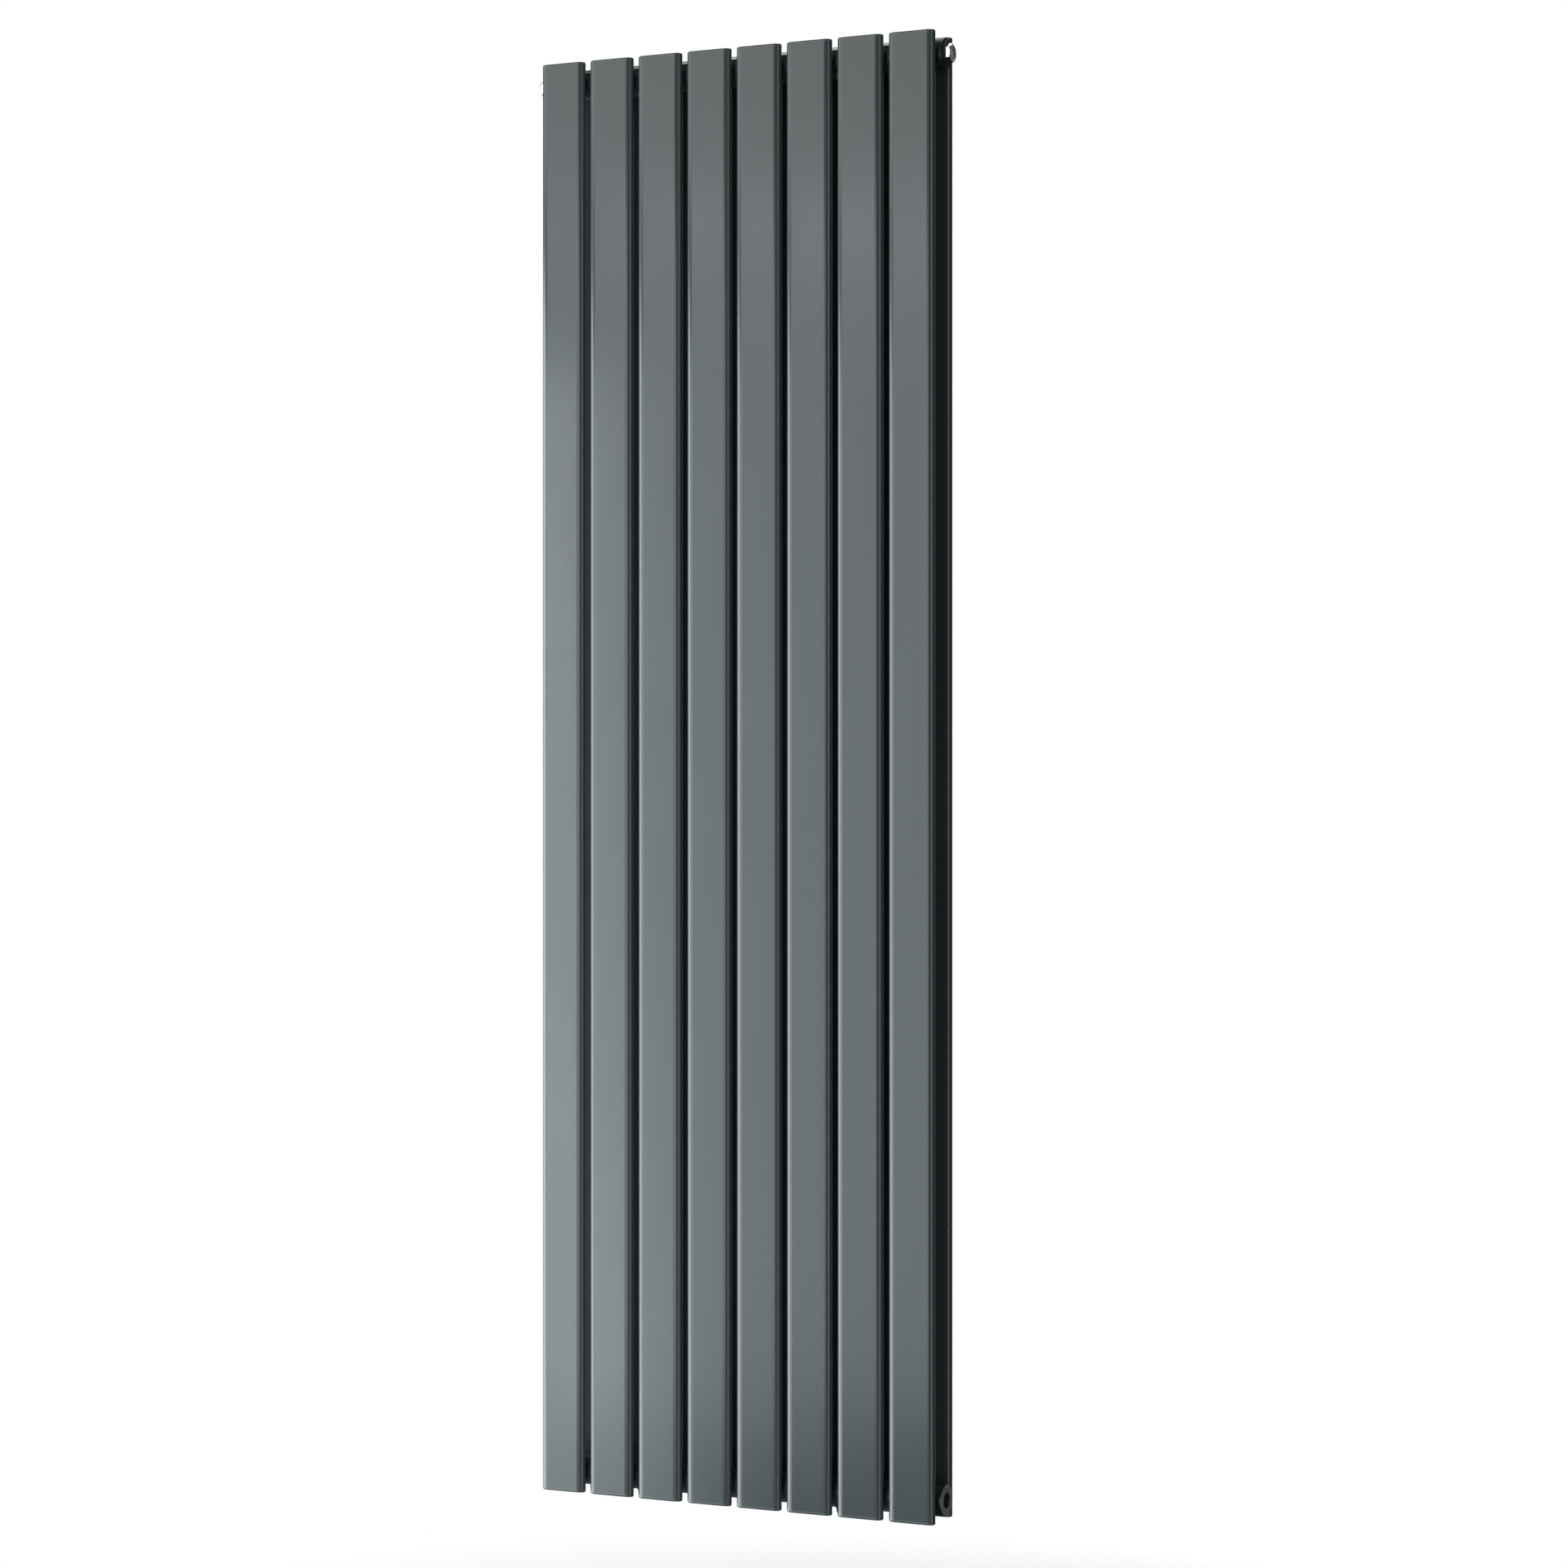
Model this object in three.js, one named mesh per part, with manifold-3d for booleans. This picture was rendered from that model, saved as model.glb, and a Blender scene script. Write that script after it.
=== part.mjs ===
// A tall double-row radiator: flat-oval steel columns in front of and behind two round header
// tubes, with a blanking plug, a manual air vent, two open valve sockets and four wall brackets.
// Millimetres. +X is right seen from the front, the front faces -Y, +Z is up. The origin is the
// point on the wall, y = 0, behind the middle of the radiator.
import * as THREE from "three";
import { mergeVertices } from "three/addons/utils/BufferGeometryUtils.js";
import Module from "manifold-3d";

const wasm = await Module();
wasm.setup();

// ---------------------------------------------------------------- driving dimensions

const HEIGHT = 1800;
const COLUMNS = 8;
const PITCH = 68; // from one column to the next
const PANEL_WIDTH = 60;
const PANEL_DEPTH = 13;
const PANEL_EDGE = 9.5; // how far the half-ellipse edge reaches across the face
const PANEL_WALL = 1.5;
const END_CAP = 2; // thickness of the plate that closes each end of a column

const HEADER_RADIUS = 19;
const HEADER_WALL = 2;
const HEADER_INSET = 25; // header axis to the ends of the columns
const COLLAR_REACH = 1.5; // space between header and column that a collar bridges
const COLLAR_RADIUS = 10;
const PORT_RADIUS = 7; // water way from header to column

const BOSS_LENGTH = 12; // threaded end ring of a header
const SOCKET_RADIUS = 9.3; // G1/2 thread, minor diameter 18.6
const WALL_GAP = 27; // wall to the back of the rear columns
const FIT = 0.3; // clearance between pieces that touch
const BAFFLE_THICKNESS = 2;

const HEX_ACROSS_FLATS = 21.3;
const HEX_FACE_INSET = 0.25; // from the flats to the round outer face of a chamfered head
const HEX_CHAMFER = THREE.MathUtils.degToRad(30);
const HEAD_LENGTH = 6;
const WASHER_RADIUS = 15.2;
const WASHER_LENGTH = 1.6;

const BRACKET_PLATE = { width: 44, thickness: 4, corner: 5 };
const BRACKET_ARM = 4; // thickness of the arm, which passes between two rear columns
const BRACKET_COLUMN_GAP = 2; // the arms pass the second gap either side of the middle
const SCREW_SLOT = { radius: 3.5, length: 11, offset: 14 };
const LINER_THICKNESS = 2;
const CRADLE_HALF_ANGLE = THREE.MathUtils.degToRad(48);
const LINER_HALF_ANGLE = THREE.MathUtils.degToRad(45);

const ROUND = 24; // sides of a large turned piece
const SMALL_ROUND = 10;
const OVERLAP = 1; // how far a piece reaches past the one that it is merged with or cut from

const ENDS = [["left", -1], ["right", 1]];
const LEVELS = [["top", 1], ["bottom", -1]];

// ---------------------------------------------------------------- derived places

const REAR_Y = -(WALL_GAP + PANEL_DEPTH / 2);
const HEADER_Y = REAR_Y - PANEL_DEPTH / 2 - COLLAR_REACH - HEADER_RADIUS;
const FRONT_Y = 2 * HEADER_Y - REAR_Y;
const HEADER_Z = HEIGHT / 2 - HEADER_INSET;
const HEADER_END = (COLUMNS * PITCH) / 2; // end face of the bosses, from the middle
const BRACKET_X = BRACKET_COLUMN_GAP * PITCH;
const BAFFLE_X = -3 * PITCH; // between the first two columns on the left

// Along a fitting's axis, measured outward from its boss's end face.
const SHANK_LENGTH = 11;
const SHANK_RADIUS = SOCKET_RADIUS - FIT;
const HEAD_START = FIT + WASHER_LENGTH + FIT;
const HEAD_END = HEAD_START + HEAD_LENGTH;

// ---------------------------------------------------------------- materials

const paint = new THREE.MeshStandardMaterial({ color: 0x4b5356, roughness: 0.4, metalness: 0.1 });
const chrome = new THREE.MeshStandardMaterial({ color: 0xd8dadc, roughness: 0.08, metalness: 1 });
const nickel = new THREE.MeshStandardMaterial({ color: 0xb9b4a6, roughness: 0.25, metalness: 1 });
const steel = new THREE.MeshStandardMaterial({ color: 0x8b8d8e, roughness: 0.45, metalness: 0.9 });
const rubber = new THREE.MeshStandardMaterial({ color: 0x161616, roughness: 0.8, metalness: 0 });
const whiteNylon = new THREE.MeshStandardMaterial({ color: 0xe9e8e2, roughness: 0.5, metalness: 0 });
const blackNylon = new THREE.MeshStandardMaterial({ color: 0x1c1d1e, roughness: 0.6, metalness: 0 });

// ---------------------------------------------------------------- solid helpers

// A closed geometry as a manifold solid.
function solid(geometry) {
  const bare = geometry.clone();
  bare.deleteAttribute("normal");
  bare.deleteAttribute("uv");
  const merged = mergeVertices(bare);
  const corners = merged.index.array;
  const kept = [];
  for (let i = 0; i < corners.length; i += 3) {
    const [a, b, c] = corners.slice(i, i + 3);
    if (a !== b && b !== c && c !== a) kept.push(a, b, c);
  }
  return new wasm.Manifold(
    new wasm.Mesh({
      numProp: 3,
      vertProperties: new Float32Array(merged.attributes.position.array),
      triVerts: new Uint32Array(kept),
    }),
  );
}

// A manifold solid as a geometry with flat faces.
function geometryOf(made) {
  const { numProp, vertProperties, triVerts } = made.getMesh();
  const positions = new Float32Array(triVerts.length * 3);
  triVerts.forEach((vertex, i) => {
    const start = vertex * numProp;
    positions.set(vertProperties.subarray(start, start + 3), i * 3);
  });
  const geometry = new THREE.BufferGeometry();
  geometry.setAttribute("position", new THREE.BufferAttribute(positions, 3));
  geometry.computeVertexNormals();
  return geometry;
}

// A solid turned about the Y axis from [radius, along] pairs, counter-clockwise from the inside.
function turned(pairs, sides = ROUND) {
  const points = pairs.map(([radius, along]) => new THREE.Vector2(radius, along));
  return new THREE.LatheGeometry(points, sides);
}

function ring(inner, outer, from, to, sides = ROUND) {
  const corners = [[inner, from], [outer, from], [outer, to], [inner, to], [inner, from]];
  return turned(corners, sides);
}

function rod(radius, from, to, sides = SMALL_ROUND) {
  return turned([[0, from], [radius, from], [radius, to], [0, to]], sides);
}

// A flat outline given a thickness along +Z, centred on z = 0.
function slab(shape, thickness, curveSegments = 4) {
  const options = { depth: thickness, bevelEnabled: false, curveSegments };
  return new THREE.ExtrudeGeometry(shape, options).translate(0, 0, -thickness / 2);
}

// Turns a piece's +Y axis to +X for side 1, or to -X for side -1.
function facing(geometry, side) {
  return geometry.rotateZ((-side * Math.PI) / 2);
}

// ---------------------------------------------------------------- columns and headers

// A rectangle whose two short sides are half-ellipses.
function flatOval(width, depth, edge) {
  const flat = width / 2 - edge;
  const shape = new THREE.Shape();
  shape.moveTo(-flat, -depth / 2);
  shape.lineTo(flat, -depth / 2);
  shape.absellipse(flat, 0, edge, depth / 2, -Math.PI / 2, Math.PI / 2, false, 0);
  shape.lineTo(-flat, depth / 2);
  shape.absellipse(-flat, 0, edge, depth / 2, Math.PI / 2, (3 * Math.PI) / 2, false, 0);
  return shape;
}

// One hollow column, closed at both ends, with its two water ports on the +Y side.
function columnGeometry() {
  const outside = slab(flatOval(PANEL_WIDTH, PANEL_DEPTH, PANEL_EDGE), HEIGHT);
  const inside = slab(
    flatOval(PANEL_WIDTH - 2 * PANEL_WALL, PANEL_DEPTH - 2 * PANEL_WALL, PANEL_EDGE - PANEL_WALL),
    HEIGHT - 2 * END_CAP,
  );
  let column = solid(outside).subtract(solid(inside));
  for (const z of [-HEADER_Z, HEADER_Z]) {
    const port = rod(PORT_RADIUS, 0, PANEL_DEPTH).translate(0, 0, z);
    column = column.subtract(solid(port));
  }
  return geometryOf(column);
}

// A header tube along X, with a collar and a water port to every column on both sides.
function headerGeometry() {
  const halfLength = HEADER_END - BOSS_LENGTH - FIT;
  const collarEnd = HEADER_RADIUS + COLLAR_REACH - FIT;
  const bore = HEADER_RADIUS - HEADER_WALL;
  let header = solid(facing(rod(HEADER_RADIUS, -halfLength, halfLength, ROUND), 1));
  for (const x of columnPlaces()) {
    header = header.add(solid(rod(COLLAR_RADIUS, -collarEnd, collarEnd).translate(x, 0, 0)));
  }
  const boreEnd = halfLength + OVERLAP;
  header = header.subtract(solid(facing(rod(bore, -boreEnd, boreEnd, ROUND), 1)));
  const portEnd = collarEnd + OVERLAP;
  for (const x of columnPlaces()) {
    header = header.subtract(solid(rod(PORT_RADIUS, -portEnd, portEnd).translate(x, 0, 0)));
  }
  return geometryOf(header);
}

function columnPlaces() {
  return Array.from({ length: COLUMNS }, (_, i) => (i - (COLUMNS - 1) / 2) * PITCH);
}

// The threaded ring welded to the end of a header, its end face at 0.
function bossGeometry(side) {
  return facing(ring(SOCKET_RADIUS, HEADER_RADIUS, -BOSS_LENGTH, 0), side);
}

// The disc that blocks the lower header between the first two columns, so that the flow rises.
function baffleGeometry() {
  const radius = HEADER_RADIUS - HEADER_WALL - FIT;
  return facing(rod(radius, -BAFFLE_THICKNESS / 2, BAFFLE_THICKNESS / 2, ROUND), 1);
}

// ---------------------------------------------------------------- plug and air vent

// A hexagon head, its corners chamfered at the outer face, with a flat facing -Y.
function hexHead(from, to) {
  const toCorner = HEX_ACROSS_FLATS / Math.sqrt(3);
  const faceRadius = HEX_ACROSS_FLATS / 2 - HEX_FACE_INSET;
  const outside = toCorner + OVERLAP;
  const prism = rod(toCorner, from, to, 6);
  const envelope = turned([
    [0, from],
    [outside, from],
    [outside, to - (outside - faceRadius) * Math.tan(HEX_CHAMFER)],
    [faceRadius, to],
    [0, to],
  ]);
  return solid(prism).intersect(solid(envelope));
}

// A hexagon head with the plain shank that stands for its thread.
function threadedPlug() {
  const shank = rod(SHANK_RADIUS, -SHANK_LENGTH, HEAD_START + OVERLAP);
  return hexHead(HEAD_START, HEAD_END).add(solid(shank));
}

function blankingPlugGeometry() {
  const dishDepth = 0.8;
  const rim = 2;
  const dishRadius = HEX_ACROSS_FLATS / 2 - rim;
  const dish = turned([
    [0, HEAD_END - dishDepth],
    [dishRadius, HEAD_END],
    [dishRadius, HEAD_END + OVERLAP],
    [0, HEAD_END + OVERLAP],
  ]);
  return facing(geometryOf(threadedPlug().subtract(solid(dish))), 1);
}

function washerGeometry(side) {
  return facing(ring(SHANK_RADIUS + FIT, WASHER_RADIUS, FIT, FIT + WASHER_LENGTH), side);
}

const VENT = {
  boreRadius: 4,
  seat: -5, // inner end of the bore
  wayRadius: 1.5, // water way behind the seat
  neckRadius: 5.4,
  neckEnd: HEAD_END + 3.6,
  outletRadius: 9.5,
  outletEnd: HEAD_END + 4.2,
  spoutRadius: 0.9,
  padRadius: 3.4,
  padLength: 2.5,
  screwRadius: 3.6,
  key: 5, // across the flats of the square end
  keyLength: 4.3,
  screwEnd: HEAD_END + 4,
  slotWidth: 0.9,
  slotDepth: 1.2,
};

// The air's way out, from the axis to +Z, as long as given.
function spoutHole(reach) {
  const hole = rod(VENT.spoutRadius, 0, reach).rotateX(-Math.PI / 2);
  return solid(hole.translate(0, (HEAD_END + VENT.neckEnd) / 2, 0));
}

// The vent's body: a plug with a neck, a bore for the screw and a side hole for the air.
function ventBodyGeometry() {
  const made = threadedPlug()
    .add(solid(rod(VENT.neckRadius, HEAD_START, VENT.neckEnd)))
    .subtract(solid(rod(VENT.boreRadius, VENT.seat, VENT.neckEnd + OVERLAP)))
    .subtract(solid(rod(VENT.wayRadius, -SHANK_LENGTH - OVERLAP, VENT.seat + OVERLAP)))
    .subtract(spoutHole(VENT.neckRadius + OVERLAP));
  return facing(geometryOf(made), -1);
}

// The nylon ring that turns on the neck to point its spout.
function ventOutletGeometry() {
  const from = HEAD_END + FIT;
  const body = ring(VENT.neckRadius + FIT, VENT.outletRadius, from, VENT.outletEnd);
  const made = solid(body).subtract(spoutHole(VENT.outletRadius + OVERLAP));
  return facing(geometryOf(made), -1);
}

// The screw: a round threaded body with a slotted square end for the bleed key.
function bleedScrewGeometry() {
  const keyStart = VENT.screwEnd - VENT.keyLength;
  const bodyStart = VENT.seat + FIT + VENT.padLength + FIT;
  const square = new THREE.BoxGeometry(VENT.key, VENT.keyLength + OVERLAP, VENT.key);
  const slot = new THREE.BoxGeometry(VENT.key + OVERLAP, 2 * VENT.slotDepth, VENT.slotWidth);
  const made = solid(rod(VENT.screwRadius, bodyStart, keyStart))
    .add(solid(square.translate(0, keyStart + (VENT.keyLength - OVERLAP) / 2, 0)))
    .subtract(solid(slot.translate(0, VENT.screwEnd, 0)));
  return facing(geometryOf(made), -1);
}

// The soft pad that the screw presses on the seat.
function seatPadGeometry() {
  const start = VENT.seat + FIT;
  const chamfer = 0.8;
  const pad = turned(
    [
      [0, start],
      [VENT.padRadius - 2 * chamfer, start],
      [VENT.padRadius, start + chamfer],
      [VENT.padRadius, start + VENT.padLength],
      [0, start + VENT.padLength],
    ],
    SMALL_ROUND,
  );
  return facing(pad, -1);
}

// ---------------------------------------------------------------- wall brackets

const LINER_INNER = HEADER_RADIUS + FIT;
const CRADLE_RADIUS = LINER_INNER + LINER_THICKNESS + FIT;
const CRADLE_CENTRE = -HEADER_Y; // from the wall

// Stands an outline of (distance from the wall, height) up in the plane across the wall.
function acrossWall(geometry) {
  const basis = new THREE.Matrix4().makeBasis(
    new THREE.Vector3(0, -1, 0),
    new THREE.Vector3(0, 0, 1),
    new THREE.Vector3(-1, 0, 0),
  );
  return geometry.applyMatrix4(basis);
}

// The wall plate: a rounded rectangle with a slot for a screw on either side of the arm.
function wallPlate() {
  const { width, thickness, corner } = BRACKET_PLATE;
  const w = width / 2;
  const h = HEADER_INSET;
  const shape = new THREE.Shape();
  shape.moveTo(-w + corner, -h);
  shape.lineTo(w - corner, -h);
  shape.absarc(w - corner, -h + corner, corner, -Math.PI / 2, 0);
  shape.lineTo(w, h - corner);
  shape.absarc(w - corner, h - corner, corner, 0, Math.PI / 2);
  shape.lineTo(-w + corner, h);
  shape.absarc(-w + corner, h - corner, corner, Math.PI / 2, Math.PI);
  shape.lineTo(-w, -h + corner);
  shape.absarc(-w + corner, -h + corner, corner, Math.PI, 1.5 * Math.PI);
  for (const side of [-1, 1]) shape.holes.push(screwSlot(side * SCREW_SLOT.offset));
  const plate = slab(shape, thickness);
  return plate.rotateX(Math.PI / 2).translate(0, -thickness / 2, 0);
}

function screwSlot(x) {
  const { radius, length } = SCREW_SLOT;
  const reach = length / 2 - radius;
  const slot = new THREE.Path();
  slot.absarc(x - reach, 0, radius, -Math.PI / 2, Math.PI / 2, true);
  slot.absarc(x + reach, 0, radius, Math.PI / 2, -Math.PI / 2, true);
  return slot;
}

// The arm: a gusset from the plate that ends in a cradle under the header.
function cradleArm() {
  const bottom = -HEADER_INSET;
  const lip = 2; // steel beyond the front end of the cradle
  const root = BRACKET_PLATE.thickness - OVERLAP;
  const cradleReach = CRADLE_RADIUS * Math.sin(CRADLE_HALF_ANGLE);
  const cradleTop = -CRADLE_RADIUS * Math.cos(CRADLE_HALF_ANGLE);
  const front = CRADLE_CENTRE + cradleReach + lip;
  const noseRadius = 6;
  const start = -Math.PI / 2 + CRADLE_HALF_ANGLE;
  const end = -Math.PI / 2 - CRADLE_HALF_ANGLE;
  const shape = new THREE.Shape();
  shape.moveTo(root, bottom);
  shape.lineTo(front - noseRadius, bottom);
  shape.absarc(front - noseRadius, bottom + noseRadius, noseRadius, -Math.PI / 2, 0);
  shape.lineTo(front, cradleTop);
  shape.absarc(CRADLE_CENTRE, 0, CRADLE_RADIUS, start, end, true);
  shape.lineTo(WALL_GAP + PANEL_DEPTH, cradleTop);
  shape.lineTo(root, HEADER_INSET / 2);
  return acrossWall(slab(shape, BRACKET_ARM));
}

function bracketGeometry() {
  return geometryOf(solid(wallPlate()).add(solid(cradleArm())));
}

// Part of a ring under the header, a little shorter than the cradle.
function saddle(inner, outer, width) {
  const start = -Math.PI / 2 - LINER_HALF_ANGLE;
  const end = -Math.PI / 2 + LINER_HALF_ANGLE;
  const shape = new THREE.Shape();
  shape.absarc(CRADLE_CENTRE, 0, outer, start, end, false);
  shape.absarc(CRADLE_CENTRE, 0, inner, end, start, true);
  return acrossWall(slab(shape, width));
}

// The nylon liner clipped over the cradle's edge, with a cheek on either side of the arm.
function linerGeometry() {
  const cheekThickness = 1.5;
  const cheekDepth = 2.4;
  const outer = LINER_INNER + LINER_THICKNESS;
  const width = BRACKET_ARM + 2 * (FIT + cheekThickness);
  let liner = solid(saddle(LINER_INNER, outer, width));
  for (const side of [-1, 1]) {
    const cheek = saddle(outer - OVERLAP, outer + cheekDepth, cheekThickness);
    liner = liner.add(solid(cheek.translate((side * (width - cheekThickness)) / 2, 0, 0)));
  }
  return geometryOf(liner);
}

// ---------------------------------------------------------------- assembly

const radiator = new THREE.Group();
radiator.name = "radiator";

function place(name, geometry, material, x, y, z, turn = 0) {
  const mesh = new THREE.Mesh(geometry, material);
  mesh.name = name;
  mesh.position.set(x, y, z);
  mesh.rotation.z = turn;
  radiator.add(mesh);
}

function placeColumns() {
  const column = columnGeometry();
  columnPlaces().forEach((x, i) => {
    place(`front_panel_${i + 1}`, column, paint, x, FRONT_Y, 0);
    place(`rear_panel_${i + 1}`, column, paint, x, REAR_Y, 0, Math.PI);
  });
}

function placeHeaders() {
  const header = headerGeometry();
  for (const [level, up] of LEVELS) {
    place(`${level}_header`, header, paint, 0, HEADER_Y, up * HEADER_Z);
    for (const [end, side] of ENDS) {
      const name = `boss_${level}_${end}`;
      place(name, bossGeometry(side), paint, side * HEADER_END, HEADER_Y, up * HEADER_Z);
    }
  }
  place("flow_baffle", baffleGeometry(), steel, BAFFLE_X, HEADER_Y, -HEADER_Z);
}

function placeFittings() {
  const right = [HEADER_END, HEADER_Y, HEADER_Z];
  const left = [-HEADER_END, HEADER_Y, HEADER_Z];
  place("blanking_plug", blankingPlugGeometry(), chrome, ...right);
  place("blanking_plug_washer", washerGeometry(1), rubber, ...right);
  place("vent_body", ventBodyGeometry(), chrome, ...left);
  place("vent_washer", washerGeometry(-1), rubber, ...left);
  place("vent_outlet", ventOutletGeometry(), whiteNylon, ...left);
  place("bleed_screw", bleedScrewGeometry(), nickel, ...left);
  place("bleed_seat_pad", seatPadGeometry(), rubber, ...left);
}

function placeBrackets() {
  const bracket = bracketGeometry();
  const liner = linerGeometry();
  for (const [level, up] of LEVELS) {
    for (const [end, side] of ENDS) {
      const name = `${level}_${end}`;
      place(`bracket_${name}`, bracket, steel, side * BRACKET_X, 0, up * HEADER_Z);
      place(`liner_${name}`, liner, blackNylon, side * BRACKET_X, 0, up * HEADER_Z);
    }
  }
}

placeColumns();
placeHeaders();
placeFittings();
placeBrackets();

export default radiator;
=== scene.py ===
"""Looks of the double-row vertical radiator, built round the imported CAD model.

Metres, in the CAD's frame: the origin on the wall behind the middle, +X right seen from the
front, the front faces -Y, +Z up. Every piece is made in the row frame, so its object sits at the
origin and rides on its CAD body.
"""

import math

import bmesh
import bpy
from mathutils import Matrix, Vector, noise


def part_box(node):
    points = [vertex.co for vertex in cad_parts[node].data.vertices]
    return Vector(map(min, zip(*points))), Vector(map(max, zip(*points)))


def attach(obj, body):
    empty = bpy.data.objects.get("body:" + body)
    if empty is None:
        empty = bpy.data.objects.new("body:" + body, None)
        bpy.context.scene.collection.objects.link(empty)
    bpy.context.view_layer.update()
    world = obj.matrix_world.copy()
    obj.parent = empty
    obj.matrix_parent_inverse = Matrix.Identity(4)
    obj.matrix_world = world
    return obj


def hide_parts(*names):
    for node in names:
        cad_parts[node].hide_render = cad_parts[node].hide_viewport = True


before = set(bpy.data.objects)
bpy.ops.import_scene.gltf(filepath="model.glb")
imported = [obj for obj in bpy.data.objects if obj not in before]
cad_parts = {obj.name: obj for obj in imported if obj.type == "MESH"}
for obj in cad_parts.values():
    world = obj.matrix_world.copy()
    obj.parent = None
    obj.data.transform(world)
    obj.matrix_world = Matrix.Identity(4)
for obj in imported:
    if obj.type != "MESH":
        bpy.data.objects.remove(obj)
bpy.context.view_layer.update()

MM = 0.001
TAU = 2 * math.pi

# ------------------------------------------------------------------ places, from the CAD model

COLUMNS = 8
LEVELS = {"top": 1, "bottom": -1}
ENDS = {"left": -1, "right": 1}
RADIATOR = "radiator"
BRACKETS = "wall_brackets"

boss_low, boss_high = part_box("boss_top_right")
HEADER_Y = (boss_low.y + boss_high.y) / 2
HEADER_Z = (boss_low.z + boss_high.z) / 2
HEADER_RADIUS = (boss_high.z - boss_low.z) / 2
HEADER_END = boss_high.x
HEADER_HALF_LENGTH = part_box("top_header")[1].x
BOSS_LENGTH = boss_high.x - boss_low.x
PANEL_LOW, PANEL_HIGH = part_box("front_panel_1")
PANEL_WIDTH = PANEL_HIGH.x - PANEL_LOW.x
PANEL_DEPTH = PANEL_HIGH.y - PANEL_LOW.y
FRONT_FACE_Y = PANEL_LOW.y

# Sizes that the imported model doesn't give as a box.
PANEL_EDGE = 9.5 * MM  # reach of the half-ellipse edge
SOCKET_MINOR = 9.3 * MM  # G1/2 thread
SOCKET_MAJOR = 10.45 * MM
THREAD_PITCH = 1.814 * MM
HEADER_WALL = 2 * MM
WASHER_GAP = 0.3 * MM
WASHER_LENGTH = 1.6 * MM
HEAD_START = 2.2 * MM
HEAD_END = 8.2 * MM
HEX_ACROSS_FLATS = 21.3 * MM
SHANK_RADIUS = SOCKET_MINOR - 0.3 * MM
SHANK_END = -11 * MM
SHANK_CHAMFER = 0.8 * MM
HEAD_SEAT_RADIUS = 10.2 * MM  # the face that presses on the washer
HEAD_SEAT = HEAD_START - 0.25 * MM


def column_x(index):
    """Middle of a column, counted from 1 at the left."""
    low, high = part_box(f"front_panel_{index}")
    return (low.x + high.x) / 2


# ------------------------------------------------------------------ mesh helpers


def add_piece(name, points, faces, material, body, slot, replaces=(), sharp=35):
    """A mesh object from row-frame points that rides on a body and stands for CAD nodes."""
    mesh = bpy.data.meshes.new(name)
    mesh.from_pydata([tuple(p) for p in points], [], faces)
    mesh.validate()
    tidy = bmesh.new()
    tidy.from_mesh(mesh)
    bmesh.ops.remove_doubles(tidy, verts=tidy.verts, dist=1e-7)
    bmesh.ops.recalc_face_normals(tidy, faces=tidy.faces)
    tidy.to_mesh(mesh)
    tidy.free()
    mesh.materials.append(material)
    piece = bpy.data.objects.new(name, mesh)
    bpy.context.scene.collection.objects.link(piece)
    shade(piece, sharp)
    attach(piece, body)
    if replaces:
        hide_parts(*replaces)
    return piece


def shade(piece, sharp):
    """Smooth shading that stays sharp at edges over that many degrees."""
    piece.data.shade_smooth()
    piece.data.set_sharp_from_angle(angle=math.radians(sharp))


def soften(piece, width, segments=2, angle=30):
    """Rounds the edges over an angle, as a real pressing or machined part has them."""
    bevel = piece.modifiers.new("edges", "BEVEL")
    bevel.width = width
    bevel.segments = segments
    bevel.limit_method = "ANGLE"
    bevel.angle_limit = math.radians(angle)
    bevel.harden_normals = False
    bevel.use_clamp_overlap = True


def make_object(name, part):
    """A plain object from row-frame points, to join to a piece or cut it with."""
    points, faces = part
    mesh = bpy.data.meshes.new(name)
    mesh.from_pydata([tuple(p) for p in points], [], faces)
    made = bpy.data.objects.new(name, mesh)
    bpy.context.scene.collection.objects.link(made)
    return made


def face_outward(mesh):
    """Turns a closed mesh's faces outward."""
    shell = bmesh.new()
    shell.from_mesh(mesh)
    bmesh.ops.recalc_face_normals(shell, faces=shell.faces)
    shell.to_mesh(mesh)
    shell.free()


def freeze(piece):
    """Applies a piece's modifiers."""
    bpy.context.view_layer.update()
    evaluated = piece.evaluated_get(bpy.context.evaluated_depsgraph_get())
    mesh = bpy.data.meshes.new_from_object(evaluated)
    piece.modifiers.clear()
    piece.data = mesh


def combine(piece, tools):
    """Joins or cuts a piece with (operation, tool) pairs, and removes the tools."""
    for operation, tool in tools:
        step = piece.modifiers.new("combine", "BOOLEAN")
        step.operation = operation
        step.solver = "EXACT"
        step.object = tool
    freeze(piece)
    for _, tool in tools:
        bpy.data.objects.remove(tool)


def loft(rings, close=False, cap_start=False, cap_end=False):
    """Points and faces of a surface through rings of equally many points."""
    count = len(rings[0])
    points = [p for ring in rings for p in ring]
    faces = []
    last = len(rings) if close else len(rings) - 1
    for r in range(last):
        here = r * count
        there = ((r + 1) % len(rings)) * count
        for i in range(count):
            j = (i + 1) % count
            faces.append((here + i, here + j, there + j, there + i))
    if cap_start:
        faces.append(tuple(range(count - 1, -1, -1)))
    if cap_end:
        start = (len(rings) - 1) * count
        faces.append(tuple(range(start, start + count)))
    return points, faces


def circle(radius, along, segments=64):
    """A ring of points round the local Z axis."""
    return [
        Vector((radius * math.cos(TAU * i / segments), radius * math.sin(TAU * i / segments), along))
        for i in range(segments)
    ]


def turned(profile, segments=64, close=False, cap_start=False, cap_end=False):
    """A surface turned about local Z from (radius, along) pairs."""
    rings = [circle(radius, along, segments) for radius, along in profile]
    return loft(rings, close, cap_start, cap_end)


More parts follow.
